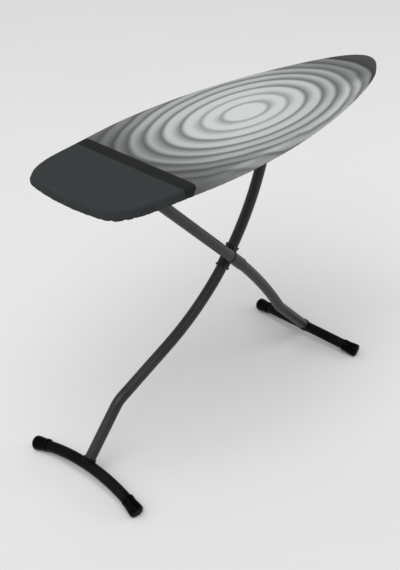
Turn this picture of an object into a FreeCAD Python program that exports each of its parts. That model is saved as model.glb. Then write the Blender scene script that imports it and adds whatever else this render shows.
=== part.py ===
import FreeCAD, Part
import math
import os

# Ironing board on a crossed pair of single-tube legs, standing open at its top height.
# Millimetres. X runs from the heel (iron rest end) to the nose, Z is up, the floor is z = 0,
# and the origin is on the floor under the middle of the whole object.

V = FreeCAD.Vector

# ---- driving dimensions -------------------------------------------------------------
BOARD_LENGTH = 1350.0      # covered board, heel to nose
BOARD_MID_X = 4.8          # middle of the board, from the middle of the whole object
TOP_HEIGHT = 985.0         # floor to the top of the cover
COVER_THICKNESS = 2.0
FOAM_THICKNESS = 3.0
FELT_THICKNESS = 4.7
SHEET_THICKNESS = 0.8      # perforated steel top
RIM_HEIGHT = 14.5          # steel rim under the sheet's edge
RIM_WIDTH = 9.0
RIM_STEEL = 1.5            # thickness of the strip that the rim is folded from
LAYER_GAP = 0.2            # between neighbouring soft layers
PANEL_EDGE_X = -403.0      # inner edge of the heat-resistant panel
PANEL_CORNER = 60.0        # radius of that panel's two inner corners

TUBE_RADIUS = 17.5         # legs and foot bars
TUBE_WALL = 1.5
LEG_SPACING = 37.0         # between the two legs' planes
PIVOT = V(-3.2, 0.0, 501.0)
FRONT_HINGE = V(-452.7, 0.0, 945.0)
REAR_TOP = V(189.0, 0.0, 946.0)
FRONT_FOOT_MID = V(400.8, -8.0, 41.0)
REAR_FOOT_MID = V(-637.6, 8.0, 44.0)
FRONT_FOOT_HALF = 210.0    # half length of a foot bar, to its tube's end
REAR_FOOT_HALF = 213.5
FOOT_BOW = 30.0            # rise of a foot bar between its ends
FOOT_END_Z = 20.5

RAIL_INNER = 53.0          # half the distance between the two rails' webs
RAIL_THICKNESS = 2.0
LEDGE_WIDTH = 10.0
GUIDE_RADIUS = 10.0        # glides on the rear leg's crossbar
PIN_RADIUS = 6.0
BOLT_RADIUS = 4.0
RUNNING_CLEARANCE = 0.08

# ---- heights worked out from the top down ------------------------------------------------
FOAM_TOP = TOP_HEIGHT - COVER_THICKNESS - LAYER_GAP
FELT_TOP = FOAM_TOP - FOAM_THICKNESS - LAYER_GAP
SHEET_TOP = FELT_TOP - FELT_THICKNESS - LAYER_GAP
RIM_TOP = SHEET_TOP - SHEET_THICKNESS
RIM_BOTTOM = RIM_TOP - RIM_HEIGHT
COVER_BOTTOM = RIM_BOTTOM - LAYER_GAP - COVER_THICKNESS

FRONT_PLANE_Y = -LEG_SPACING / 2
REAR_PLANE_Y = LEG_SPACING / 2


# ---- general shapes ----------------------------------------------------------------------
def save(name, shape):
    """Write one sub-part."""
    shape.exportStep(os.path.join("parts", name + ".step"))
    print(name, "valid" if shape.isValid() else "NOT VALID", round(shape.Volume / 1000, 2), "cm3")


def box(x0, x1, y0, y1, z0, z1):
    return Part.makeBox(x1 - x0, y1 - y0, z1 - z0, V(x0, y0, z0))


def rod(start, end, radius):
    return Part.makeCylinder(radius, (end - start).Length, start, end - start)


def ring(start, end, outer, inner):
    return rod(start, end, outer).cut(rod(start, end, inner))


def bent_path(corners, radii):
    """Straight runs through the corners, each corner rounded by a tangent arc."""
    edges = []
    start = corners[0]
    for index, radius in enumerate(radii, start=1):
        corner = corners[index]
        back = (corners[index - 1] - corner).normalize()
        ahead = (corners[index + 1] - corner).normalize()
        half_turn = (math.pi - back.getAngle(ahead)) / 2
        tangent = radius * math.tan(half_turn)
        bisector = (back + ahead).normalize()
        first = corner + back * tangent
        last = corner + ahead * tangent
        middle = corner + bisector * (radius / math.cos(half_turn) - radius)
        edges.append(Part.LineSegment(start, first).toShape())
        edges.append(Part.Arc(first, middle, last).toShape())
        start = last
    edges.append(Part.LineSegment(start, corners[-1]).toShape())
    return Part.Wire(edges)


def swept(path, radius):
    """Solid round bar along a path."""
    edge = path.Edges[0]
    start = edge.valueAt(edge.FirstParameter)
    heading = edge.tangentAt(edge.FirstParameter)
    profile = Part.Wire([Part.Circle(start, heading, radius).toShape()])
    return path.makePipeShell([profile], True, False)


def lathe(profile, base, axis):
    """Turn (distance along the axis, radius) points into a solid on the given axis."""
    points = [V(radius, 0, along) for along, radius in profile]
    points = [V(0, 0, profile[0][0])] + points + [V(0, 0, profile[-1][0])]
    face = Part.Face(Part.makePolygon(points + points[:1]))
    solid = face.revolve(V(0, 0, 0), V(0, 0, 1), 360)
    turn = FreeCAD.Rotation(V(0, 0, 1), axis)
    solid.Placement = FreeCAD.Placement(base, turn)
    return solid


# ---- board outline -------------------------------------------------------------------------
# distance from the board's middle and half width, heel to nose
HALF_WIDTHS = [
    (-670, 88), (-650, 152), (-601, 183), (-476, 205), (-304, 224), (-150, 229), (4, 221),
    (214, 191), (402, 147), (550, 99), (632, 59), (667, 25),
]


def outline_curve(inset):
    """Closed outline of the covered board, moved inwards by the inset."""
    half = BOARD_LENGTH / 2
    side = [V(x, y, 0) for x, y in HALF_WIDTHS]
    mirrored = [V(p.x, -p.y, 0) for p in reversed(side)]
    points = [V(-half, 0, 0)] + mirrored[::-1] + [V(half, 0, 0)] + side[::-1]
    outer = Part.BSplineCurve()
    outer.interpolate(points, PeriodicFlag=True)
    moved = []
    for point in points:
        heading = outer.tangent(outer.parameter(point))[0]
        moved.append(point + V(-heading.y, heading.x, 0) * inset + V(BOARD_MID_X, 0, 0))
    inner = Part.BSplineCurve()
    inner.interpolate(moved, PeriodicFlag=True)
    return inner


def outline_wire(inset, z):
    wire = Part.Wire([outline_curve(inset).toShape()])
    wire.translate(V(0, 0, z))
    return wire


def slab(inset, bottom, top):
    """Solid of the board's outline between two heights."""
    return Part.Face(outline_wire(inset, bottom)).extrude(V(0, 0, top - bottom))


# ---- soft layers -----------------------------------------------------------------------------
def panel_region():
    """Everything on the heel side of the panel's inner edge, with its rounded corners."""
    edge_x = PANEL_EDGE_X + BOARD_MID_X
    half = 250.0
    region = box(-900, edge_x, -half, half, COVER_BOTTOM - 5, TOP_HEIGHT + 5)
    upright = [edge for edge in region.Edges
               if edge.BoundBox.ZLength > 1 and abs(edge.BoundBox.XMax - edge_x) < 1e-3]
    return region.makeFillet(PANEL_CORNER, upright)


def make_cover():
    """Cover shell: top, side drop and the lip that turns under the rim."""
    outside = slab(0, COVER_BOTTOM, TOP_HEIGHT)
    room = slab(COVER_THICKNESS, RIM_BOTTOM - LAYER_GAP, TOP_HEIGHT - COVER_THICKNESS)
    mouth = slab(RIM_WIDTH + 5, COVER_BOTTOM - 1, RIM_BOTTOM)
    shell = outside.cut(room).cut(mouth)
    region = panel_region()
    save("cover_fabric", shell.cut(region))
    save("heat_resistant_panel", shell.common(region))


def make_padding():
    inset = COVER_THICKNESS + 0.5
    save("foam_layer", slab(inset, FOAM_TOP - FOAM_THICKNESS, FOAM_TOP))
    save("felt_pad", slab(inset, FELT_TOP - FELT_THICKNESS, FELT_TOP))


# ---- steel top -------------------------------------------------------------------------------
def make_sheet():
    """Perforated sheet: staggered round steam holes, none near the rim or the rails."""
    hole_radius = 9.0
    pitch = 46.0
    border = 26.0
    inset = COVER_THICKNESS + 1
    limit = Part.Face(outline_wire(inset + border, 0))
    wires = [outline_wire(inset, RIM_TOP)]
    for row in range(-5, 6):
        y = row * pitch * math.sin(math.radians(60))
        for column in range(-15, 16):
            x = BOARD_MID_X + (column + 0.5 * (row % 2)) * pitch
            if 40 < abs(y) < 80 or not limit.isInside(V(x, y, 0), 0.01, True):
                continue
            wires.append(Part.Wire([Part.Circle(V(x, y, RIM_TOP), V(0, 0, 1), hole_radius).toShape()]))
    face = Part.makeFace(wires, "Part::FaceMakerBullseye")
    save("perforated_top", face.extrude(V(0, 0, SHEET_THICKNESS)))


def make_rim():
    """Rim channel under the sheet's edge, open inwards, in four lengths butted end to end."""
    inset = COVER_THICKNESS + 1
    strip = slab(inset, RIM_BOTTOM, RIM_TOP).cut(slab(inset + RIM_WIDTH, RIM_BOTTOM - 1, RIM_TOP + 1))
    strip = strip.cut(slab(inset + RIM_STEEL, RIM_BOTTOM + RIM_STEEL, RIM_TOP - RIM_STEEL))
    heel_joint = BOARD_MID_X - 590
    nose_joint = BOARD_MID_X + 540
    low, high = RIM_BOTTOM - 2, RIM_TOP + 2
    save("rim_heel", strip.common(box(-800, heel_joint, -300, 300, low, high)))
    save("rim_nose", strip.common(box(nose_joint, 800, -300, 300, low, high)))
    save("rim_left", strip.common(box(heel_joint, nose_joint, 0, 300, low, high)))
    save("rim_right", strip.common(box(heel_joint, nose_joint, -300, 0, low, high)))


RAIL_HEEL_X = FRONT_HINGE.x - 60
RAIL_NOSE_X = 628.0
LEDGE_TOP = 927.0


def make_rails():
    """Two upright side plates under the sheet, each with a ledge for the crossbar's glides."""
    inside_rim = slab(RIM_WIDTH + 5.3, LEDGE_TOP - 10, RIM_TOP)
    for name, side in (("left", 1), ("right", -1)):
        y0, y1 = sorted((side * RAIL_INNER, side * (RAIL_INNER + RAIL_THICKNESS)))
        web = box(RAIL_HEEL_X, RAIL_NOSE_X, y0, y1, LEDGE_TOP - RAIL_THICKNESS, RIM_TOP)
        corners = [edge for edge in web.Edges
                   if edge.BoundBox.YLength > 1 and edge.BoundBox.ZMax < LEDGE_TOP]
        web = web.makeFillet(18, [edge for edge in corners if edge.BoundBox.XLength < 1])
        axle = FRONT_HINGE + V(0, side * RAIL_INNER, 0)
        web = web.cut(rod(axle - V(0, 9, 0), axle + V(0, 9, 0), PIN_RADIUS + 0.05))
        if side > 0:
            bolt = lock_axis()
            web = web.cut(rod(bolt - V(0, 9, 0), bolt + V(0, 9, 0), LOCK_RADIUS + RUNNING_CLEARANCE))
        save("rail_" + name, web.common(inside_rim))
        y0, y1 = sorted((side * (RAIL_INNER - LEDGE_WIDTH), side * RAIL_INNER))
        ledge = box(REAR_TOP.x - 40, RAIL_NOSE_X - 20, y0, y1, LEDGE_TOP - RAIL_THICKNESS, LEDGE_TOP)
        save("ledge_" + name, ledge)


def make_braces():
    """Cross members from the rim to the rails: a shallow channel on each side of the rails."""
    depth = 12.0
    places = {"heel": -470.0, "middle": -60.0, "nose": 330.0}
    room = slab(COVER_THICKNESS + 1 + RIM_WIDTH, RIM_TOP - depth, RIM_TOP)
    for name, x in places.items():
        halves = []
        for side in (1, -1):
            y0, y1 = sorted((side * (RAIL_INNER + RAIL_THICKNESS), side * 400))
            bar = box(x - 14, x + 14, y0, y1, RIM_TOP - depth, RIM_TOP)
            groove = box(x - 12, x + 12, y0, y1, RIM_TOP - depth - 1, RIM_TOP - 2)
            halves.append(bar.cut(groove).common(room))
        save("brace_" + name, Part.makeCompound(halves))


# ---- front leg: hinged under the heel, foot under the nose -------------------------------------
def front_leg_path():
    """Straight from the hinge, a long gentle bow below the pivot, then a knee to the foot."""
    plane = V(0, FRONT_PLANE_Y, 0)
    bow = V(122.7, 0, 376.9)
    knee = V(238.3, 0, 205.5)
    foot = V(FRONT_FOOT_MID.x, 0, FRONT_FOOT_MID.z)
    corners = [FRONT_HINGE + plane, bow + plane, knee + plane, foot + plane]
    return bent_path(corners, [1900.0, 85.0])


def rear_leg_path():
    """Short run down from the crossbar, one long arc past the pivot, then a knee to the foot."""
    plane = V(0, REAR_PLANE_Y, 0)
    knee = V(-498.2, 0, 206.5)
    low_slope = math.radians(23.0)
    top_slope = math.radians(80.0)
    # the long arc's corner is where the run from the knee meets the run from the crossbar
    reach = (REAR_TOP.z - knee.z) * math.cos(top_slope) - (REAR_TOP.x - knee.x) * math.sin(top_slope)
    reach /= math.sin(low_slope - top_slope)
    corner = knee + V(math.cos(low_slope), 0, math.sin(low_slope)) * reach
    foot = V(REAR_FOOT_MID.x, 0, REAR_FOOT_MID.z)
    corners = [REAR_TOP + plane, corner + plane, knee + plane, foot + plane]
    return bent_path(corners, [770.0, 85.0])


def foot_path(middle, half_length, outward):
    """Arc of a foot bar: it rises from its two ends towards the leg."""
    rise = middle.z - FOOT_END_Z
    run = math.sqrt(max(FOOT_BOW ** 2 - rise ** 2, 0)) * outward
    ends = [V(middle.x + run, middle.y + side * half_length, FOOT_END_Z) for side in (1, -1)]
    return Part.Wire([Part.Arc(ends[0], middle, ends[1]).toShape()])


def tube(path):
    return swept(path, TUBE_RADIUS).cut(swept(path, TUBE_RADIUS - TUBE_WALL))


def foot_cap(path, at_start):
    """Moulded end cap: collar, waist and flared heel, flat where it stands on the floor."""
    edge = path.Edges[0]
    where = edge.FirstParameter if at_start else edge.LastParameter
    end = edge.valueAt(where)
    axis = edge.tangentAt(where) * (-1 if at_start else 1)
    profile = [
        (-42, 19.6), (-40.5, 20.4), (-32, 20.6), (-30.5, 19.9), (-22, 20.2), (-6, 22.0),
        (4, 22.8), (9, 22.4), (12.5, 20.0), (14.5, 15.5), (15.2, 8.0),
    ]
    cap = lathe(profile, end, axis)
    bore = swept(path, TUBE_RADIUS + 0.05).fuse(rod(end, end + axis * 2.0, TUBE_RADIUS + 0.05))
    floor = box(-900, 900, -400, 400, -100, 0)
    return cap.cut(bore).cut(floor)


def make_foot(name, middle, half_length, outward):
    path = foot_path(middle, half_length, outward)
    save(name + "_foot_bar", tube(path))
    save(name + "_foot_cap_left", foot_cap(path, True))
    save(name + "_foot_cap_right", foot_cap(path, False))
    return path


def weld_bead(leg_path, foot, offset):
    """Fillet weld where the leg stands on its foot bar."""
    edge = leg_path.Edges[-1]
    end = edge.valueAt(edge.LastParameter)
    heading = edge.tangentAt(edge.LastParameter)
    start = end - heading * (TUBE_RADIUS + 4.5)
    bead = rod(start, end, TUBE_RADIUS + 3.0)
    bead = bead.cut(swept(foot, TUBE_RADIUS + 0.1)).cut(swept(leg_path, TUBE_RADIUS + 0.1))
    solids = [solid for solid in bead.Solids
              if (solid.CenterOfMass - start).dot(heading) < offset]
    return Part.makeCompound(solids)


def leg_direction(path, point):
    """Heading of a leg's centreline where it passes nearest to a point."""
    vertex = Part.Vertex(point)
    edge = min(path.Edges, key=lambda candidate: candidate.distToShape(vertex)[0])
    return edge.tangentAt(edge.Curve.parameter(point))


def pivot_sleeve(path, plane_y, length, radius, flange, side):
    """Moulded sleeve round a leg at the pivot, flat on the face towards the other leg."""
    centre = V(PIVOT.x, plane_y, PIVOT.z)
    heading = leg_direction(path, centre)
    half = length / 2
    body = rod(centre - heading * half, centre + heading * half, radius)
    for end in (-1, 1):
        near = centre + heading * end * (half - 7)
        far = centre + heading * end * half
        body = body.fuse(rod(near, far, flange))
    gap_face = 0.5 * side
    beyond = box(-300, 300, *sorted((gap_face, -side * 200)), 200, 800)
    body = body.cut(beyond).cut(swept(path, TUBE_RADIUS + 0.05))
    return body.removeSplitter()


def bolt_hole(radius):
    return rod(V(PIVOT.x, -FRONT_BORE_DEPTH, PIVOT.z), V(PIVOT.x, 60, PIVOT.z), radius)


FRONT_BORE_DEPTH = 14.0    # the pivot bolt ends inside the front leg's tube
HINGE_HALF = 42.0
HINGE_RADIUS = 13.0


def make_front_leg():
    path = front_leg_path()
    foot = make_foot("front", FRONT_FOOT_MID, FRONT_FOOT_HALF, 1)
    bore = bolt_hole(BOLT_RADIUS + RUNNING_CLEARANCE)
    hinge = ring(FRONT_HINGE - V(0, HINGE_HALF, 0), FRONT_HINGE + V(0, HINGE_HALF, 0),
                 HINGE_RADIUS, PIN_RADIUS + RUNNING_CLEARANCE)
    around_hinge = rod(FRONT_HINGE - V(0, 60, 0), FRONT_HINGE + V(0, 60, 0), HINGE_RADIUS + 0.1)
    leg = tube(path).cut(swept(foot, TUBE_RADIUS + 0.1)).cut(around_hinge).cut(bore)
    save("front_leg_tube", max(leg.Solids, key=lambda solid: solid.Volume))
    save("front_hinge_tube", hinge)
    save("front_leg_weld", weld_bead(path, foot, 12))
    sleeve = pivot_sleeve(path, FRONT_PLANE_Y, 74, TUBE_RADIUS + 2.2, TUBE_RADIUS + 2.2, -1)
    save("front_pivot_sleeve", sleeve.cut(bore))


# ---- rear leg: slides under the nose, foot under the heel -------------------------------------
def make_rear_leg():
    path = rear_leg_path()
    foot = make_foot("rear", REAR_FOOT_MID, REAR_FOOT_HALF, -1)
    bore = bolt_hole(BOLT_RADIUS + 0.05)
    bar_radius = 8.0
    bar_half = RAIL_INNER - 0.6
    bar_start = REAR_TOP - V(0, bar_half, 0)
    bar_end = REAR_TOP + V(0, bar_half, 0)
    leg = tube(path).cut(swept(foot, TUBE_RADIUS + 0.1))
    leg = leg.cut(rod(bar_start, bar_end, bar_radius + 0.1)).cut(bore)
    save("rear_leg_tube", max(leg.Solids, key=lambda solid: solid.Volume))
    save("rear_crossbar", rod(bar_start, bar_end, bar_radius).cut(rod(bar_start, bar_end, bar_radius - 2)))
    save("rear_leg_weld", weld_bead(path, foot, 12))
    glide = 9.0
    for name, side in (("left", 1), ("right", -1)):
        inner = REAR_TOP + V(0, side * (bar_half - glide), 0)
        outer = REAR_TOP + V(0, side * bar_half, 0)
        save("glide_" + name, ring(inner, outer, GUIDE_RADIUS, bar_radius + 0.05))
    housing = pivot_sleeve(path, REAR_PLANE_Y, 78, TUBE_RADIUS + 2.8, TUBE_RADIUS + 5.5, 1)
    save("pivot_housing", housing.cut(bore))


def make_pivot():
    """Bolt from the rear leg's far side, a slip washer between the legs, a nut in the tube."""
    y = PIVOT.y
    head_face = REAR_PLANE_Y + TUBE_RADIUS + 2.8
    start = V(PIVOT.x, y - FRONT_BORE_DEPTH + 0.5, PIVOT.z)
    seat = V(PIVOT.x, head_face, PIVOT.z)
    bolt = rod(start, seat, BOLT_RADIUS)
    dome = lathe([(0, 9.0), (2.0, 9.0), (4.0, 7.6), (5.2, 5.0), (5.6, 2.0)], seat, V(0, 1, 0))
    recess = Part.makePolygon([V(3 * math.cos(math.radians(60 * k)), 3 * math.sin(math.radians(60 * k)), 0)
                               for k in range(7)])
    socket = Part.Face(recess).extrude(V(0, 0, 4))
    socket.Placement = FreeCAD.Placement(seat + V(0, 2.4, 0), FreeCAD.Rotation(V(0, 0, 1), V(0, 1, 0)))
    save("pivot_bolt", bolt.fuse(dome).cut(socket).removeSplitter())
    washer = ring(V(PIVOT.x, -0.35, PIVOT.z), V(PIVOT.x, 0.5, PIVOT.z), 15.0, BOLT_RADIUS + 0.05)
    save("pivot_washer", washer)
    flats = Part.makePolygon([V(7.5 * math.cos(math.radians(60 * k)), 7.5 * math.sin(math.radians(60 * k)), 0)
                              for k in range(7)])
    nut = Part.Face(flats).extrude(V(0, 0, 6.5))
    nut.Placement = FreeCAD.Placement(V(PIVOT.x, -11.6, PIVOT.z), FreeCAD.Rotation(V(0, 0, 1), V(0, 1, 0)))
    save("pivot_nut", nut.cut(rod(start, seat, BOLT_RADIUS + 0.05)))


# ---- front hinge pin -------------------------------------------------------------------------
def make_hinge_pin():
    half = RAIL_INNER + RAIL_THICKNESS + 6
    start = FRONT_HINGE - V(0, half, 0)
    end = FRONT_HINGE + V(0, half, 0)
    save("hinge_pin", rod(start, end, PIN_RADIUS))
    clips = []
    for side in (1, -1):
        inner = FRONT_HINGE + V(0, side * (RAIL_INNER + RAIL_THICKNESS), 0)
        outer = inner + V(0, side * 3.0, 0)
        clips.append(ring(inner, outer, 11.0, PIN_RADIUS + 0.05))
    save("hinge_pin_clips", Part.makeCompound(clips))


# ---- height release: lever, lock bolt and return spring -----------------------------------------
LEVER_X = 236.0
LEVER_PIN_Y = 84.0
LEVER_PIN_Z = 960.0
LOCK_Z = 940.0
LOCK_RADIUS = 4.0
LEVER_HALF = 12.0          # half the lever's width
LEVER_THICKNESS = 5.0


def lock_axis():
    return V(LEVER_X, RAIL_INNER + RAIL_THICKNESS / 2, LOCK_Z)


def make_release():
    """Pull-up paddle under the left side; its hanging arm draws the lock bolt outwards."""
    pin_start = V(LEVER_X - 22, LEVER_PIN_Y, LEVER_PIN_Z)
    pin_end = V(LEVER_X + 22, LEVER_PIN_Y, LEVER_PIN_Z)
    web_face = RAIL_INNER + RAIL_THICKNESS
    ears = [box(*sorted((LEVER_X + side * 16, LEVER_X + side * 18)), 74, 94, LEVER_PIN_Z - 8, RIM_TOP)
            for side in (1, -1)]
    roof = box(LEVER_X - 18, LEVER_X + 18, web_face, 94, RIM_TOP - 2, RIM_TOP)
    bracket = roof.fuse(ears[0]).fuse(ears[1]).cut(rod(pin_start, pin_end, 2.55))
    save("lever_bracket", bracket.removeSplitter())
    save("lever_pin", rod(pin_start, pin_end, 2.5))

    x0, x1 = LEVER_X - LEVER_HALF, LEVER_X + LEVER_HALF
    half = LEVER_THICKNESS / 2
    boss = rod(V(x0 - 3, LEVER_PIN_Y, LEVER_PIN_Z), V(x1 + 3, LEVER_PIN_Y, LEVER_PIN_Z), 6.0)
    arm_low = LOCK_Z - 17
    arm = box(x0, x1, LEVER_PIN_Y - half, LEVER_PIN_Y + half, arm_low, LEVER_PIN_Z)
    blade = box(x0, x1, LEVER_PIN_Y - half, 156, arm_low, arm_low + LEVER_THICKNESS)
    lever = boss.fuse(arm).fuse(blade).removeSplitter()
    slot = box(LEVER_X - LOCK_RADIUS - 0.4, LEVER_X + LOCK_RADIUS + 0.4, LEVER_PIN_Y - 9, LEVER_PIN_Y + 9,
               LOCK_Z - 6.5, LOCK_Z + 7)
    lever = lever.cut(slot).cut(rod(pin_start, pin_end, 2.5 + RUNNING_CLEARANCE))
    save("release_lever", lever)
    grip_z = arm_low + half
    grip = box(x0 - 6, x1 + 6, 122, 166, grip_z - 6.5, grip_z + 6.5)
    grip = grip.makeFillet(10, [edge for edge in grip.Edges if edge.BoundBox.ZLength > 5])
    grip = grip.makeFillet(3, [edge for edge in grip.Edges if edge.BoundBox.ZLength < 0.01])
    socket = box(x0, x1, 110, 156, arm_low, arm_low + LEVER_THICKNESS)
    save("lever_grip", grip.cut(socket))

    axis = lock_axis()
    tip = V(axis.x, RAIL_INNER + 0.2, axis.z)
    head = V(axis.x, LEVER_PIN_Y + half + 2.2, axis.z)
    shank = rod(tip, head, LOCK_RADIUS)
    collar = rod(V(axis.x, 67.0, axis.z), V(axis.x, 69.0, axis.z), 7.0)
    button = rod(head, head + V(0, 2.5, 0), 6.0)
    save("lock_bolt", shank.fuse(collar).fuse(button).removeSplitter())
    turns = 5
    wire_radius = 0.7
    rings = []
    for turn in range(turns):
        y = web_face + wire_radius + 0.05 + turn * (2 * wire_radius + 0.05)
        rings.append(Part.makeTorus(5.4, wire_radius, V(axis.x, y, axis.z), V(0, 1, 0)))
    save("lock_spring", Part.makeCompound(rings))


# ---- storage catch: a hook that holds the folded rear foot bar -----------------------------------
CATCH_PIN = V(-572.0, -16.0, 956.0)
CATCH_REACH = 92.0         # pin to the underside of the hook
CATCH_HALF = 6.0


def make_catch():
    """Swinging hook under the heel, lying flat towards the nose, on its own bracket and pin."""
    ear_gap = CATCH_HALF + 1.5
    ears = [box(CATCH_PIN.x - 9, CATCH_PIN.x + 9,
                *sorted((CATCH_PIN.y + side * ear_gap, CATCH_PIN.y + side * (ear_gap + 2))),
                CATCH_PIN.z - 7, RIM_TOP) for side in (1, -1)]
    roof = box(CATCH_PIN.x - 9, CATCH_PIN.x + 9, CATCH_PIN.y - ear_gap - 2, CATCH_PIN.y + ear_gap + 2,
               RIM_TOP - 2, RIM_TOP)
    pin_start = CATCH_PIN - V(0, ear_gap + 4, 0)
    pin_end = CATCH_PIN + V(0, ear_gap + 4, 0)
    bracket = roof.fuse(ears[0]).fuse(ears[1]).cut(rod(pin_start, pin_end, 2.55))
    save("catch_bracket", bracket.removeSplitter())
    save("catch_pin", rod(pin_start, pin_end, 2.5))
    y0, y1 = CATCH_PIN.y - CATCH_HALF, CATCH_PIN.y + CATCH_HALF
    start = V(CATCH_PIN.x, y0, CATCH_PIN.z)
    end = V(CATCH_PIN.x, y1, CATCH_PIN.z)
    boss = rod(start, end, 6.0)
    far = CATCH_PIN.x + CATCH_REACH
    arm = box(CATCH_PIN.x, far, y0, y1, CATCH_PIN.z - 2.5, CATCH_PIN.z + 2.5)
    toe = box(far - 4, far, y0, y1, CATCH_PIN.z - 30, CATCH_PIN.z + 2.5)
    hook = boss.fuse(arm).fuse(toe).removeSplitter()
    save("storage_catch", hook.cut(rod(start, end, 2.5 + RUNNING_CLEARANCE)))


def make_rivets():
    """Domed rivets under each brace, holding it to the sheet."""
    rivets = []
    for x in (-470.0, -60.0, 330.0):
        for y in (-100.0, -72.0, 72.0, 100.0):
            rivets.append(lathe([(0, 4.0), (1.2, 3.6), (2.0, 2.2)], V(x, y, RIM_TOP - 2), V(0, 0, -1)))
    save("brace_rivets", Part.makeCompound(rivets))


os.makedirs("parts", exist_ok=True)
make_cover()
make_padding()
make_sheet()
make_rim()
make_rails()
make_braces()
make_front_leg()
make_rear_leg()
make_pivot()
make_hinge_pin()
make_release()
make_catch()
make_rivets()
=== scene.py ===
import math

import bpy
from mathutils import Euler, Matrix, Vector, kdtree, noise


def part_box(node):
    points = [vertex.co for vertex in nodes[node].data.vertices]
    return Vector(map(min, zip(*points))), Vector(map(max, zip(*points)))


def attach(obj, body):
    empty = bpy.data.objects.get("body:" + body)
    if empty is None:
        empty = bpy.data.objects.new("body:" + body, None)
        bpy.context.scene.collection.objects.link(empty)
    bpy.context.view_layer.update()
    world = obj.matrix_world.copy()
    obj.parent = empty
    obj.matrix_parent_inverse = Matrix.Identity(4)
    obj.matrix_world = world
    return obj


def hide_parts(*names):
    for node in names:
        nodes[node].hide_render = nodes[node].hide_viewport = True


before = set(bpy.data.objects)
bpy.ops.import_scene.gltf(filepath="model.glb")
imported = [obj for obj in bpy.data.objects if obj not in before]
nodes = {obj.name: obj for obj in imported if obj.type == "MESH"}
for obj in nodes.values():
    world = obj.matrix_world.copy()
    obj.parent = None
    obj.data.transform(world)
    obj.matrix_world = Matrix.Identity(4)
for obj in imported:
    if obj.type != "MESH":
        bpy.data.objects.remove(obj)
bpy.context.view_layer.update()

# ---- studio: camera, floor and light -----------------------------------------------------------
# The board stands on a plain pale floor. The camera looks down on it from the heel end's right
# corner, at the height of a tall person's raised arm. Wide soft lights hang above and to the left.
CAMERA_PLACE = (-2.1657, -1.8224, 2.2217)
CAMERA_TURN_DEGREES = (57.18, -0.27, -47.68)
FLOOR_SIZE = 60
scene = bpy.context.scene
scene.view_settings.view_transform = "Standard"
camera_data = bpy.data.cameras.new("camera")
camera_data.sensor_fit = "HORIZONTAL"
camera_data.sensor_width = 36.0
camera_data.lens = 94.0
camera_data.clip_end = 60.0
camera = bpy.data.objects.new("camera", camera_data)
camera.location = CAMERA_PLACE
camera.rotation_euler = Euler([math.radians(angle) for angle in CAMERA_TURN_DEGREES])
scene.collection.objects.link(camera)
scene.camera = camera


class Field:
    """A shader socket that can be used in arithmetic; each operation adds its node."""

    def __init__(self, tree, socket):
        self.tree = tree
        self.socket = socket

    def node(self, kind, settings=None, inputs=None, output=0):
        """Add any node: its settings first, then the values or links of its sockets."""
        made = self.tree.nodes.new(kind)
        for name, value in (settings or {}).items():
            if name == "stops":
                ramp = made.color_ramp
                while len(ramp.elements) < len(value):
                    ramp.elements.new(0.5)
                for element, (place, colour) in zip(ramp.elements, value):
                    element.position = place
                    element.color = (*colour, 1)
            else:
                setattr(made, name, value)
        for name, value in (inputs or {}).items():
            if isinstance(value, Field):
                self.tree.links.new(value.socket, made.inputs[name])
            else:
                made.inputs[name].default_value = value
        return Field(self.tree, made.outputs[output])

    def math(self, operation, *others):
        inputs = {place: value for place, value in enumerate((self, *others))}
        return self.node("ShaderNodeMath", {"operation": operation}, inputs)

    def __add__(self, other):
        return self.math("ADD", other)

    def __mul__(self, other):
        return self.math("MULTIPLY", other)

    def __sub__(self, other):
        return self.math("SUBTRACT", other)

    def __rsub__(self, other):
        return (self * -1) + other

    def __truediv__(self, other):
        return self.math("DIVIDE", other)

    def __pow__(self, other):
        return self.math("POWER", other)

    def step(self, low, high):
        """0 below low, 1 above high, smooth between."""
        inputs = {"Value": self, "From Min": low, "From Max": high}
        return self.node("ShaderNodeMapRange", {"interpolation_type": "SMOOTHSTEP"}, inputs)

    def mix(self, first, second):
        """Colour between two colours by this factor."""
        ends = [value if isinstance(value, Field) else (*value, 1) for value in (first, second)]
        inputs = {0: self, 6: ends[0], 7: ends[1]}
        return self.node("ShaderNodeMix", {"data_type": "RGBA"}, inputs, output=2)

    def times(self, other):
        """Product of two colours."""
        return self.node("ShaderNodeVectorMath", {"operation": "MULTIPLY"}, {0: self, 1: other})

    def parts(self):
        """The three components of a vector."""
        split = self.tree.nodes.new("ShaderNodeSeparateXYZ")
        self.tree.links.new(self.socket, split.inputs[0])
        return [Field(self.tree, output) for output in split.outputs]


class Finish:
    """A material under way: its tree, its shader's sockets and the place being shaded."""

    def __init__(self, name, roughness, metallic=0.0, coat=0.0, shine=0.5, colour=(0.5, 0.5, 0.5)):
        self.material = bpy.data.materials.new(name)
        self.material.use_nodes = True
        self.tree = self.material.node_tree
        self.shader = self.tree.nodes["Principled BSDF"]
        self.shader.inputs["Roughness"].default_value = roughness
        self.shader.inputs["Metallic"].default_value = metallic
        self.shader.inputs["Coat Weight"].default_value = coat
        self.shader.inputs["Specular IOR Level"].default_value = shine
        self.shader.inputs["Base Color"].default_value = (*colour, 1)
        places = self.tree.nodes.new("ShaderNodeTexCoord")
        self.place = Field(self.tree, places.outputs["Object"])

    def feed(self, socket, field):
        self.tree.links.new(field.socket, self.shader.inputs[socket])

    def noise(self, scale, detail=2.0, roughness=0.5, vector=None):
        inputs = {
            "Vector": vector or self.place,
            "Scale": scale,
            "Detail": detail,
            "Roughness": roughness,
        }
        return self.place.node("ShaderNodeTexNoise", {}, inputs)

    def bump(self, height, strength, distance):
        inputs = {"Height": height, "Strength": strength, "Distance": distance}
        self.feed("Normal", self.place.node("ShaderNodeBump", {}, inputs))


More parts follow.
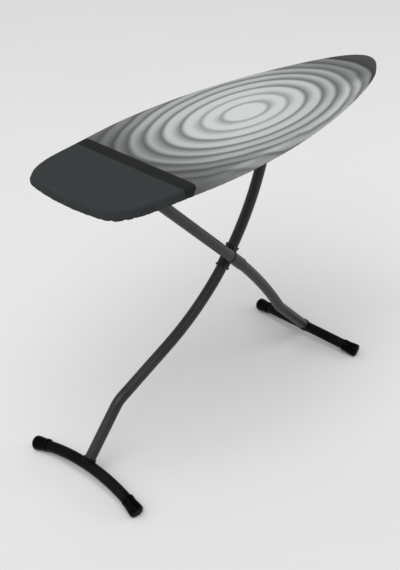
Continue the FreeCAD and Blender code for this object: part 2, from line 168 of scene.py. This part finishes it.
def area_light(name, place, target, size, power):
    data = bpy.data.lights.new(name, "AREA")
    data.shape = "RECTANGLE"
    data.size, data.size_y = size
    data.energy = power
    light = bpy.data.objects.new(name, data)
    light.location = place
    light.rotation_euler = (Vector(target) - Vector(place)).to_track_quat("-Z", "Y").to_euler()
    scene.collection.objects.link(light)


area_light("overhead_light", place=(-0.8, 0.9, 3.6), target=(0, 0, 0.5), size=(4.5, 4.5), power=22)
area_light("left_light", place=(-3.6, 2.4, 2.6), target=(0, 0, 0.6), size=(2.0, 2.0), power=16)
area_light("right_light", place=(3.2, -2.2, 1.7), target=(0.3, 0, 0.8), size=(1.8, 1.8), power=26)
skylight_data = bpy.data.lights.new("skylight", "SUN")
skylight_data.energy = 1.62
skylight_data.angle = math.radians(55)
skylight = bpy.data.objects.new("skylight", skylight_data)
skylight.rotation_euler = Vector((-0.45, -0.22, 1)).to_track_quat("Z", "Y").to_euler()
scene.collection.objects.link(skylight)
world = bpy.data.worlds.new("studio")
world.use_nodes = True
background = world.node_tree.nodes["Background"]
background.inputs["Color"].default_value = (0.80, 0.80, 0.80, 1)
background.inputs["Strength"].default_value = 0.50
scene.world = world

bpy.ops.object.select_all(action="DESELECT")
bpy.ops.mesh.primitive_plane_add(size=FLOOR_SIZE, location=(0, 0, 0))
floor = bpy.context.object
floor.name = "floor"
paper = Finish("pale_paper", roughness=0.9)
paper.feed("Base Color", paper.noise(1.5).mix((0.77, 0.77, 0.77), (0.79, 0.79, 0.79)))
floor.data.materials.append(paper.material)


# ---- powder-coated steel: legs, hinge tube, rails, rim, braces and brackets ---------------------
# Bent and welded steel, sprayed anthracite and baked. The coat has a fine orange-peel skin, a
# satin gloss that varies a little along the tube, and a dusting of lighter specks.
def finish_nodes(finish, *names):
    for name in names:
        node = nodes[name]
        node.data.materials.clear()
        node.data.materials.append(finish.material)


def brighter(colour, gain, lift=0.0):
    return tuple(channel * gain + lift for channel in colour)


def powder_coat(name, colour, roughness, peel, shine=0.3):
    finish = Finish(name, roughness, shine=shine)
    clouds = finish.noise(9.0, 4.0)
    specks = finish.noise(900.0, 1.0).step(0.62, 0.72)
    shade = clouds.step(0.3, 0.7).mix(colour, brighter(colour, 1.28, 0.004))
    finish.feed("Base Color", (specks * 0.25).mix(shade, brighter(colour, 2.2)))
    finish.feed("Roughness", clouds * 0.12 + (roughness - 0.06))
    finish.bump(finish.noise(700.0, 2.0), peel, 0.0004)
    return finish


frame_coat = powder_coat("anthracite_powder_coat", (0.0175, 0.0200, 0.0215), 0.38, 0.35)
finish_nodes(
    frame_coat, "front_leg_tube", "rear_leg_tube", "front_hinge_tube", "rail_left", "rail_right",
    "ledge_left", "ledge_right", "rim_heel", "rim_nose", "rim_left", "rim_right", "brace_heel",
    "brace_middle", "brace_nose", "lever_bracket", "catch_bracket", "release_lever",
)
black_coat = powder_coat("black_powder_coat", (0.0016, 0.0020, 0.0024), 0.34, 0.3, shine=0.06)
finish_nodes(black_coat, "front_foot_bar", "rear_foot_bar", "front_leg_weld", "rear_leg_weld")


# ---- perforated steel top ---------------------------------------------------------------------
# Punched sheet welded to the rim, in the same coat but sprayed thinner, so that it is a little
# paler and the burred edges of its steam holes catch the light.
sheet_coat = powder_coat("sheet_powder_coat", (0.030, 0.033, 0.035), 0.5, 0.25)
finish_nodes(sheet_coat, "perforated_top")


# ---- moulded plastic: pivot sleeve, housing and washer, glides, lever grip, storage catch --------
# Injection-moulded nylon with a fine spark-eroded grain, patchy where it is worn. The sleeve is
# anthracite like the tube it sits on, and the pivot's washer is bare, undyed nylon.
def moulded(name, colour, roughness, grain):
    finish = Finish(name, roughness, shine=0.3)
    worn = finish.noise(14.0, 3.0)
    finish.feed("Base Color", worn.mix(colour, brighter(colour, 1.5, 0.002)))
    finish.feed("Roughness", worn * 0.16 + (roughness - 0.08))
    finish.bump(finish.noise(1500.0, 2.0), grain, 0.0003)
    return finish


grained_plastic = moulded("grained_black_plastic", (0.0030, 0.0034, 0.0038), 0.45, 0.5)
finish_nodes(
    grained_plastic, "pivot_housing", "glide_left", "glide_right", "lever_grip", "storage_catch",
)
anthracite_plastic = moulded("grained_anthracite_plastic", (0.0135, 0.0155, 0.0165), 0.40, 0.4)
finish_nodes(anthracite_plastic, "front_pivot_sleeve")
natural_nylon = moulded("natural_nylon", (0.55, 0.54, 0.50), 0.45, 0.3)
finish_nodes(natural_nylon, "pivot_washer")


# ---- foot caps ----------------------------------------------------------------------------------
# Black rubber-like caps pushed over the ends of the foot bars. They are scuffed low down, where
# they meet the floor.
SCUFFS_FULL_BELOW = 0.004
SCUFFS_END = 0.022
cap_rubber = Finish("black_cap_rubber", roughness=0.36, shine=0.04)
scuffs = cap_rubber.noise(60.0, 5.0, 0.7)
cap_height = cap_rubber.place.parts()[2]
low_down = 1 - cap_height.step(SCUFFS_FULL_BELOW, SCUFFS_END)
scuffed = (scuffs * low_down * 0.8).mix((0.0012, 0.0013, 0.0015), (0.012, 0.012, 0.012))
cap_rubber.feed("Base Color", scuffed)
cap_rubber.feed("Roughness", scuffs * 0.18 + low_down * 0.2 + 0.20)
cap_rubber.bump(scuffs, 0.12, 0.0004)
finish_nodes(
    cap_rubber, "front_foot_cap_left", "front_foot_cap_right", "rear_foot_cap_left",
    "rear_foot_cap_right",
)


# ---- zinc-plated small parts --------------------------------------------------------------------
# Pins, clips, bolts, nut, spring, rivets and the crossbar: turned or drawn steel. The bright zinc
# has a cloudy bloom that dulls it in patches.
zinc = Finish("bright_zinc", roughness=0.34, metallic=1.0)
bloom = zinc.noise(80.0, 4.0, 0.65)
zinc.feed("Base Color", bloom.mix((0.42, 0.43, 0.44), (0.62, 0.63, 0.64)))
zinc.feed("Roughness", bloom * 0.2 + 0.24)
zinc.bump(zinc.noise(400.0, 2.0), 0.1, 0.0003)
finish_nodes(
    zinc, "hinge_pin", "hinge_pin_clips", "lever_pin", "lock_spring", "catch_pin", "pivot_bolt",
    "pivot_nut", "lock_bolt", "brace_rivets", "rear_crossbar",
)


# ---- board outline ------------------------------------------------------------------------------
# Every soft layer is cut to the board's outline. The outline is walked round the edge of the felt
# pad, evenly spaced, and each layer stands a little further out or in along its normals.
AROUND = 900
SMOOTHINGS = 6
SAME_LEVEL = 1e-4
felt_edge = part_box("felt_pad")
board_middle = (felt_edge[0] + felt_edge[1]) / 2
far_corners = {
    (round(v.co.x, 5), round(v.co.y, 5))
    for v in nodes["felt_pad"].data.vertices
    if v.co.z > felt_edge[1].z - SAME_LEVEL and v.co.y > SAME_LEVEL
}
far_side = [Vector((x, y, 0)) for x, y in far_corners]
far_side.sort(key=lambda p: -math.atan2(p.y * 3, p.x - board_middle.x))
far_side.insert(0, Vector((felt_edge[0].x, 0, 0)))
far_side.append(Vector((felt_edge[1].x, 0, 0)))


def evenly_spaced(line, steps):
    """Points at equal steps along an open line, both ends included."""
    lengths = [(b - a).length for a, b in zip(line, line[1:])]
    points = []
    index, passed = 0, 0.0
    for number in range(steps):
        wanted = number * sum(lengths) / steps
        while passed + lengths[index] < wanted:
            passed += lengths[index]
            index += 1
        points.append(line[index].lerp(line[index + 1], (wanted - passed) / lengths[index]))
    return points + [line[-1]]


half_outline = evenly_spaced(far_side, AROUND // 2)
near_side = [Vector((p.x, -p.y, 0)) for p in half_outline[1:-1]]
outline = half_outline + near_side[::-1]
for _ in range(SMOOTHINGS):
    outline = [
        (outline[i - 1] + outline[i] * 2 + outline[(i + 1) % AROUND]) / 4
        for i in range(AROUND)
    ]
normals = []
for number in range(AROUND):
    along = outline[(number + 1) % AROUND] - outline[number - 1]
    normals.append(Vector((-along.y, along.x, 0)).normalized())


MIDDLE_LINE_SHARE = 0.55
MERGE_DISTANCE = 0.0005
SMALLEST_FACE = 0.0004


def rolled_layer(name, profile, inner_rings):
    """Roll a flat grid into a board-shaped skin.

    The profile runs from the top's inner ring outwards, as (distance out, height) pairs. Inside
    the first pair the rings close in on the board's long middle line, where they are merged. The
    UV map "cut_cloth" holds each point's place on the skin laid flat, in metres.
    """
    rows = inner_rings + len(profile)
    bpy.ops.object.select_all(action="DESELECT")
    bpy.ops.mesh.primitive_grid_add(x_subdivisions=AROUND, y_subdivisions=rows - 1, size=2)
    layer = bpy.context.object
    layer.name = name
    mesh = layer.data
    flat = mesh.uv_layers[0] if mesh.uv_layers else mesh.uv_layers.new()
    flat.name = "cut_cloth"
    travelled = [0.0]
    for (out_a, z_a), (out_b, z_b) in zip(profile, profile[1:]):
        travelled.append(travelled[-1] + math.hypot(out_b - out_a, z_b - z_a))
    cut = []
    for vertex in mesh.vertices:
        number = round((vertex.co.x + 1) / 2 * AROUND) % AROUND
        row = round((vertex.co.y + 1) / 2 * (rows - 1))
        edge, normal = outline[number], normals[number]
        if row < inner_rings:
            share = row / inner_rings
            ring = edge + normal * profile[0][0]
            reach = MIDDLE_LINE_SHARE + (1 - MIDDLE_LINE_SHARE) * share
            x = board_middle.x + (ring.x - board_middle.x) * reach
            place = Vector((x, ring.y * share, profile[0][1]))
            cut.append((place.x, place.y))
        else:
            out, z = profile[row - inner_rings]
            place = edge + normal * out
            spread = edge + normal * (profile[0][0] + travelled[row - inner_rings])
            place.z = z
            cut.append((spread.x, spread.y))
        vertex.co = place
    for loop in mesh.loops:
        flat.data[loop.index].uv = cut[loop.vertex_index]
    bpy.ops.object.mode_set(mode="EDIT")
    bpy.ops.mesh.select_all(action="SELECT")
    bpy.ops.mesh.remove_doubles(threshold=MERGE_DISTANCE)
    bpy.ops.mesh.dissolve_degenerate(threshold=SMALLEST_FACE)
    bpy.ops.mesh.normals_make_consistent(inside=False)
    bpy.ops.object.mode_set(mode="OBJECT")
    return layer


def add_modifier(piece, kind, **settings):
    """Put a modifier on and apply it."""
    bpy.context.view_layer.objects.active = piece
    modifier = piece.modifiers.new(kind.lower(), kind)
    for name, value in settings.items():
        setattr(modifier, name, value)
    bpy.ops.object.modifier_apply(modifier=modifier.name)


# ---- felt and foam under the cover -----------------------------------------------------------------
# A needled felt pad lies on the steel, with a thinner foam layer on it. Both are cut to the board's
# outline, and their cut edges are soft and slightly crowned.
SLAB_MARGIN = 0.020


def soft_slab(name, node, finish):
    low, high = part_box(node)
    middle = (low.z + high.z) / 2
    half = (high.z - low.z) / 2
    profile = [(-SLAB_MARGIN, high.z), (-half * 1.2, high.z)]
    for turn in range(1, 6):
        angle = math.radians(90 - 30 * turn)
        profile.append((-half + half * math.cos(angle), middle + half * math.sin(angle)))
    profile += [(-half * 1.2, low.z), (-SLAB_MARGIN, low.z)]
    slab = rolled_layer(name, profile, inner_rings=4)
    bpy.ops.object.mode_set(mode="EDIT")
    bpy.ops.mesh.select_all(action="DESELECT")
    bpy.ops.mesh.select_non_manifold(extend=False)
    bpy.ops.mesh.edge_face_add()
    bpy.ops.object.mode_set(mode="OBJECT")
    slab.data.materials.append(finish.material)
    slab.data.shade_smooth()
    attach(slab, "board")
    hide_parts(node)
    return slab


felt = Finish("needled_felt", roughness=0.95)
fibres = felt.noise(900.0, 4.0, 0.8)
felt.feed("Base Color", fibres.mix((0.30, 0.30, 0.28), (0.52, 0.51, 0.47)))
felt.bump(fibres, 0.6, 0.0008)
felt_layer = soft_slab("felt_layer", "felt_pad", felt)

foam = Finish("open_cell_foam", roughness=0.9)
cells = foam.noise(1200.0, 2.0)
foam.feed("Base Color", cells.mix((0.55, 0.55, 0.52), (0.72, 0.72, 0.68)))
foam.bump(cells, 0.5, 0.0006)
foam_pad = soft_slab("foam_pad", "foam_layer", foam)


# ---- cover cloth, before it is cut in two ----------------------------------------------------------
# One stretched skin: flat on the padding, rounded over its edge, down the side, and turned in under
# the rim. An elastic hem draws it in, so the side ripples, most of all round the two heel corners.
cloth_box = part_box("cover_fabric")
cover_top = cloth_box[1].z
cover_low = cloth_box[0].z
COVER_OUT = 0.0022
EDGE_RADIUS = 0.0085
LIP_RADIUS = 0.0022
LIP_WIDTH = 0.0125
ROWS_DOWN = 9
CLOTH_THICKNESS = 0.0009
RING_INSETS = (0.034, 0.026, 0.020, 0.015, 0.0115)
LIP_STEPS = (0.3, 0.65, 1.0)
cover_profile = [(COVER_OUT - inset, cover_top) for inset in RING_INSETS]
for turn in range(6):
    angle = math.radians(90 - 18 * turn)
    cover_profile.append((
        COVER_OUT - EDGE_RADIUS + EDGE_RADIUS * math.cos(angle),
        cover_top - EDGE_RADIUS + EDGE_RADIUS * math.sin(angle),
    ))
side_start = cover_top - EDGE_RADIUS
side_end = cover_low + LIP_RADIUS
for row in range(1, ROWS_DOWN + 1):
    cover_profile.append((COVER_OUT, side_start + (side_end - side_start) * row / ROWS_DOWN))
for turn in range(1, 4):
    angle = math.radians(-30 * turn)
    cover_profile.append((
        COVER_OUT - LIP_RADIUS + LIP_RADIUS * math.cos(angle),
        side_end + LIP_RADIUS * math.sin(angle),
    ))
for step in LIP_STEPS:
    cover_profile.append((COVER_OUT - LIP_RADIUS - (LIP_WIDTH - LIP_RADIUS) * step, cover_low))
cover_skin = rolled_layer("cover_skin", cover_profile, inner_rings=12)

edge_finder = kdtree.KDTree(AROUND)
for number, point in enumerate(outline):
    edge_finder.insert(point, number)
edge_finder.balance()


def distance_out(place):
    """How far a place is outside the outline, and the outline's normal there."""
    nearest, number, _ = edge_finder.find(Vector((place.x, place.y, 0)))
    return (place - nearest).dot(normals[number]), normals[number]


# The top is pinned, the side is loose, and the lip is nearly held where the hem grips it. Depths
# are shares of the way from the top to the lip. Small ripples give the folds somewhere to start.
PINNED_DEPTH = 0.2
LOOSENING = 2.5
LIP_DEPTH = 0.97
LIP_HOLD = 0.85
HEEL_CORNER_X = 0.07
HEEL_CORNER_REACH = 0.12
RIPPLES_PER_METRE = 45.0
SIDE_RIPPLE = 0.0006
CORNER_RIPPLE = 0.0012
held_cloth = cover_skin.vertex_groups.new(name="held")
for vertex in cover_skin.data.vertices:
    depth = (cover_top - vertex.co.z) / (cover_top - cover_low)
    held = min(1.0, max(0.0, 1.0 - (depth - PINNED_DEPTH) * LOOSENING))
    if depth > LIP_DEPTH:
        held = LIP_HOLD
    held_cloth.add([vertex.index], held, "REPLACE")
    if depth > PINNED_DEPTH:
        off_corner = abs(vertex.co.x - felt_edge[0].x - HEEL_CORNER_X) / HEEL_CORNER_REACH
        corner = max(0.0, 1 - off_corner) * min(1.0, abs(vertex.co.y) / HEEL_CORNER_REACH)
        height = SIDE_RIPPLE + CORNER_RIPPLE * corner
        ripple = noise.noise(vertex.co * RIPPLES_PER_METRE) * height
        vertex.co += distance_out(vertex.co)[1] * ripple

# The cloth grows a little while the simulation runs, so it buckles between its held edges.
CLOTH_GROWTH = 0.035
SETTLED_FRAMES = 18
cloth = cover_skin.modifiers.new("cloth", "CLOTH")
cloth.settings.quality = 6
cloth.settings.mass = 0.2
cloth.settings.tension_stiffness = 18
cloth.settings.compression_stiffness = 18
cloth.settings.shear_stiffness = 8
cloth.settings.bending_stiffness = 0.35
cloth.settings.shrink_min = -CLOTH_GROWTH
cloth.settings.vertex_group_mass = "held"
cloth.settings.effector_weights.gravity = 0.0
cloth.collision_settings.use_collision = False
for number in range(1, SETTLED_FRAMES + 1):
    scene.frame_set(number)
bpy.context.view_layer.objects.active = cover_skin
bpy.ops.object.modifier_apply(modifier="cloth")
scene.frame_set(1)

# The rim keeps the cloth out, so every fold stands outwards from it.
NOT_ON_SIDE = -0.006
for vertex in cover_skin.data.vertices:
    if cover_low + 0.002 < vertex.co.z < cover_top - 0.004:
        out, normal = distance_out(vertex.co)
        wanted = min(max(out, COVER_OUT - 0.0008), COVER_OUT + 0.004)
        if out > NOT_ON_SIDE:
            vertex.co += normal * (wanted - out)
    vertex.co.z = min(max(vertex.co.z, cover_low - 0.0005), cover_top)
cover_skin.vertex_groups.clear()


CORNER_BEARING = 48
CORNER_SPREAD = 42


def corner_share(normal):
    """1 where the outline turns through a heel corner, 0 along the sides and round the nose."""
    bearing = math.degrees(math.atan2(abs(normal.y), -normal.x))
    return max(0.0, 1 - abs(bearing - CORNER_BEARING) / CORNER_SPREAD)


# Sewn-in gathers: the hem pinches the side in at uneven steps and the cloth bulges in between.
# Places along the hem are counted in steps of the outline.
FIRST_PINCH = 3.0
LEAST_GAP = 6.0
EXTRA_GAP = 14.0
SIDE_SWELL = 0.0006
CORNER_SWELL = 0.0044
PINCH_LIFT = 0.0010
pinches = []
place = FIRST_PINCH
while place < AROUND - FIRST_PINCH:
    pinches.append(place)
    place += LEAST_GAP + EXTRA_GAP * abs(noise.noise(Vector((place * 0.37, 1.7, 0))))
for vertex in cover_skin.data.vertices:
    depth = (cover_top - EDGE_RADIUS * 0.8 - vertex.co.z) / (cover_top - cover_low)
    if depth <= 0:
        continue
    number = edge_finder.find(Vector((vertex.co.x, vertex.co.y, 0)))[1]
    out, normal = distance_out(vertex.co)
    if out < NOT_ON_SIDE:
        continue
    nearest = min(abs(number - pinch) for pinch in pinches)
    pinched = math.exp(-nearest ** 2)
    share = corner_share(normal)
    swell = (SIDE_SWELL + CORNER_SWELL * share) * min(1.0, depth * 1.8)
    vertex.co += normal * swell * (1 - pinched)
    vertex.co.z += PINCH_LIFT * share * depth * pinched
add_modifier(cover_skin, "SOLIDIFY", thickness=CLOTH_THICKNESS, offset=-1.0)


# ---- seam between heel cloth and printed cloth -------------------------------------------------
# The heel cloth ends in a straight seam with rounded corners that carry on down the sides. The
# skin is parted there by a cutter whose face follows that line over the top and down the drop.
SEAM_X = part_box("heat_resistant_panel")[1].x
SEAM_STRAIGHT = 0.19
SEAM_CORNER = 0.06
CUTTER_HALF_WIDTH = 0.3
CUTTER_ABOVE = 0.03
CUTTER_HEIGHT = 0.09
CUTTER_END_X = -0.8
OVER_EDGE_ALLOWANCE = 0.002


def seam_at(across):
    """X of the seam at a distance across the cloth, measured over its edge."""
    turned = min(max(abs(across) - SEAM_STRAIGHT, 0.0), SEAM_CORNER)
    return SEAM_X - SEAM_CORNER + math.sqrt(SEAM_CORNER ** 2 - turned ** 2)


bpy.ops.mesh.primitive_grid_add(x_subdivisions=120, y_subdivisions=14, size=2)
cutter = bpy.context.object
cutter.name = "seam_cutter"
for vertex in cutter.data.vertices:
    y = vertex.co.x * CUTTER_HALF_WIDTH
    z = cover_top + CUTTER_ABOVE - (vertex.co.y + 1) / 2 * CUTTER_HEIGHT
    drop = max(0.0, cover_top - EDGE_RADIUS - z)
    vertex.co = (seam_at(abs(y) + drop + OVER_EDGE_ALLOWANCE), y, z)
bpy.ops.object.mode_set(mode="EDIT")
bpy.ops.mesh.select_all(action="SELECT")
bpy.ops.mesh.extrude_region_move()
bpy.ops.object.mode_set(mode="OBJECT")
for vertex in cutter.data.vertices:
    if vertex.select:
        vertex.co.x = CUTTER_END_X
bpy.ops.object.mode_set(mode="EDIT")
bpy.ops.mesh.select_all(action="SELECT")
bpy.ops.mesh.normals_make_consistent(inside=False)
bpy.ops.object.mode_set(mode="OBJECT")
bpy.ops.object.select_all(action="DESELECT")
cover_skin.select_set(True)
bpy.context.view_layer.objects.active = cover_skin
bpy.ops.object.duplicate()
heel_cloth = bpy.context.object
heel_cloth.name = "heel_cloth"
add_modifier(heel_cloth, "BOOLEAN", operation="INTERSECT", object=cutter, solver="EXACT")
add_modifier(cover_skin, "BOOLEAN", operation="DIFFERENCE", object=cutter, solver="EXACT")
cover_skin.name = "printed_cloth"
bpy.data.objects.remove(cutter)


# ---- printed cloth ---------------------------------------------------------------------------------
# Pale grey twill with long oval rings like ripples in water. Each ring is a dark line that fades
# more slowly on its outer side, most of all at the ends. The cloth darkens towards both ends. A
# painted highlight, standing in for a side light, makes the flank that faces the camera and its
# drop paler.
RING_REACH = 0.32
RINGS_MIDDLE_X = 0.0428
RINGS_STRETCH = 2.02
TWILL_PITCH = 2600.0
ring_radii = (0.046, 0.085, 0.122, 0.157, 0.187, 0.216, 0.243, 0.272)
line_greys = (0.31, 0.31, 0.18, 0.145, 0.135, 0.125, 0.095, 0.110)
band_greys = (0.63, 0.61, 0.58, 0.53, 0.46, 0.41, 0.27, 0.22, 0.18)


def tinted(grey):
    return (grey * 0.955, grey, grey * 0.985)


def neutral(grey):
    return (grey, grey, grey)


def ring_stops(before, after):
    """Ramp stops for all rings; a line fades out this far before and after itself."""
    stops = [(0.0, tinted(band_greys[0]))]
    for radius, line, inner, outer in zip(ring_radii, line_greys, band_greys, band_greys[1:]):
        stops.append(((radius - before) / RING_REACH, tinted(inner)))
        stops.append((radius / RING_REACH, tinted(line)))
        stops.append(((radius + after) / RING_REACH, tinted(outer)))
    return stops


printed = Finish("printed_cotton", roughness=0.86, shine=0.2)
cut = printed.place.node("ShaderNodeUVMap", {"uv_map": "cut_cloth"})
cloth_x, cloth_y, _ = cut.parts()
run = (cloth_x - RINGS_MIDDLE_X) / RINGS_STRETCH
sway = (printed.noise(9.0, 1.0, vector=cut) - 0.5) * 0.016
radius = (run * run + cloth_y * cloth_y) ** 0.5
far_out = radius.step(0.14, 0.26)
radius = radius + sway * far_out
endwise = run.math("ABSOLUTE") / (radius + 0.0001)
share = radius / RING_REACH
crisp = share.node("ShaderNodeValToRGB", {"stops": ring_stops(0.007, 0.011)}, {0: share})
soft = share.node("ShaderNodeValToRGB", {"stops": ring_stops(0.009, 0.018)}, {0: share})
rings = endwise.step(0.55, 0.95).mix(crisp, soft)
heelwards = (run * -1).step(0.11, 0.26)
shade = heelwards.mix(neutral(1.0), neutral(0.62))
nose_patch = radius.step(0.268, 0.274) * run.step(0.14, 0.16)
# Painted highlight: the flank and drop facing the camera are made up to 1.8 times paler, as if a side
# light fell on them.
flank_highlight_band = (cloth_y * -1).step(0.07, 0.12) * radius.step(0.19, 0.23)
painted_flank_highlight = flank_highlight_band * run.step(-0.02, 0.08) * (1 - run.step(0.20, 0.26))
painted_drop_highlight = (cloth_y * -1).step(0.205, 0.225) * (1 - heelwards)
painted_highlight = (painted_flank_highlight + painted_drop_highlight * 0.9).math("MINIMUM", 1.0)
# lift carries the painted highlight of the near flank and drop, and darkens the nose patch to 0.36.
lift = nose_patch.mix(painted_highlight.mix(neutral(1.0), neutral(1.80)), neutral(0.36))
warp = ((cloth_x + cloth_y) * TWILL_PITCH).math("SINE")
weft = ((cloth_x - cloth_y) * TWILL_PITCH).math("SINE")
twill = warp * weft
specks = printed.noise(260.0, 2.0, 0.6, vector=cut)
grain = twill * 0.10 + specks * 0.55 + 0.72
thread = grain.node("ShaderNodeCombineXYZ", inputs={0: grain, 1: grain, 2: grain})
printed.feed("Base Color", rings.times(shade).times(lift).times(thread))
printed.bump(twill * 0.3 + specks * 0.7, 0.35, 0.0005)
cover_skin.data.materials.clear()
cover_skin.data.materials.append(printed.material)
cover_skin.data.shade_smooth()
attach(cover_skin, "board")
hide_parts("cover_fabric")


# ---- heel cloth ------------------------------------------------------------------------------------
# Coarser charcoal cloth that takes a hot iron, a little uneven in its threads. A band next to the
# seam is nearly black.
BAND_START = 0.046
BAND_FULL = 0.042
charcoal = Finish("charcoal_heel_cloth", roughness=0.9, shine=0.2)
heel_cut = charcoal.place.node("ShaderNodeUVMap", {"uv_map": "cut_cloth"})
heel_x = heel_cut.parts()[0]
threads = charcoal.noise(700.0, 3.0, 0.7, vector=heel_cut)
patches = charcoal.noise(14.0, 2.0, 0.5, vector=heel_cut)
plain = (threads * 0.7 + patches * 0.3).mix((0.019, 0.0215, 0.0225), (0.047, 0.052, 0.054))
band = heel_x.step(SEAM_X - BAND_START, SEAM_X - BAND_FULL)
charcoal.feed("Base Color", band.mix(plain, (0.0125, 0.0135, 0.0145)))
charcoal.bump(threads, 0.6, 0.0007)
heel_cloth.data.materials.clear()
heel_cloth.data.materials.append(charcoal.material)
heel_cloth.data.shade_smooth()
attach(heel_cloth, "board")
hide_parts("heat_resistant_panel")


# ---- stitches along the seam ---------------------------------------------------------------------
# One row of short dark stitches holds the heel cloth down, three millimetres inside its edge. Each
# is a flattened bead, laid along the seam where a ray meets the cloth.
STITCHES = 150
STITCH_HALF_ROW = 0.236
STITCH_INSET = 0.003
STITCH_ADVANCE = 0.0022
STITCH_HALF_SIZES = (0.0013, 0.0004, 0.0003)
OTHER_SIDE_PENALTY = 9
RAY_START = 0.05


def skin_point(surface, across, x):
    """Point on the cloth's outside at this distance across it, and the way out of the cloth."""
    side = 1 if across > 0 else -1

    def misfit(number):
        penalty = 0 if outline[number].y * side > 0 else OTHER_SIDE_PENALTY
        return abs(outline[number].x - x) + penalty

    reach = abs(outline[min(range(AROUND), key=misfit)].y) + COVER_OUT
    over = abs(across) - (reach - EDGE_RADIUS)
    if over <= 0:
        origin = Vector((x, across, cover_top + RAY_START))
        ray = Vector((0, 0, -1))
    else:
        angle = min(over / EDGE_RADIUS, math.pi / 2)
        down = max(0.0, over - EDGE_RADIUS * math.pi / 2)
        ray = Vector((0, -side * math.sin(angle), -math.cos(angle)))
        centre = Vector((x, side * (reach - EDGE_RADIUS), cover_top - EDGE_RADIUS - down))
        origin = centre - ray * RAY_START
    hit, place, _, _ = surface.ray_cast(origin, ray)
    return (place, -ray) if hit else None


stitches = []
for number in range(STITCHES):
    across = (number / (STITCHES - 1) - 0.5) * 2 * STITCH_HALF_ROW
    ahead = across + STITCH_ADVANCE
    found = skin_point(heel_cloth, across, seam_at(across) - STITCH_INSET)
    beyond = skin_point(heel_cloth, ahead, seam_at(ahead) - STITCH_INSET)
    if not found or not beyond:
        continue
    place, out = found
    along = (beyond[0] - place).normalized()
    bpy.ops.mesh.primitive_uv_sphere_add(segments=8, ring_count=6, radius=1)
    stitch = bpy.context.object
    turn = Matrix((along, out.cross(along).normalized(), out)).transposed().to_4x4()
    size = Matrix.Diagonal((*STITCH_HALF_SIZES, 1))
    stitch.data.transform(Matrix.Translation(place + along * STITCH_ADVANCE / 2) @ turn @ size)
    stitches.append(stitch)
bpy.ops.object.select_all(action="DESELECT")
for stitch in stitches:
    stitch.select_set(True)
bpy.context.view_layer.objects.active = stitches[0]
bpy.ops.object.join()
seam_stitches = bpy.context.object
seam_stitches.name = "seam_stitches"
thread_finish = Finish("dark_thread", roughness=0.6, colour=(0.05, 0.05, 0.055))
seam_stitches.data.materials.append(thread_finish.material)
seam_stitches.data.shade_smooth()
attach(seam_stitches, "board")


# ---- elastic hem -----------------------------------------------------------------------------------
# A thin roll of gathered binding runs round the turned-in edge, close under the rim. It is finely
# puckered by the elastic inside.
HEM_RADIUS = 0.0010
HEM_PUCKER = 0.00025
hem_profile = []
for turn in range(9):
    angle = math.radians(45 * turn)
    hem_profile.append((
        COVER_OUT - LIP_WIDTH + HEM_RADIUS * math.cos(angle),
        cover_low + HEM_RADIUS + HEM_RADIUS * math.sin(angle),
    ))
elastic_hem = rolled_layer("elastic_hem", hem_profile, inner_rings=0)
for vertex in elastic_hem.data.vertices:
    number = edge_finder.find(Vector((vertex.co.x, vertex.co.y, 0)))[1]
    vertex.co.z += HEM_PUCKER * math.sin(number * math.pi / 2.0)
binding = Finish("hem_binding", roughness=0.8, colour=(0.06, 0.062, 0.065))
elastic_hem.data.materials.append(binding.material)
elastic_hem.data.shade_smooth()
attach(elastic_hem, "board")
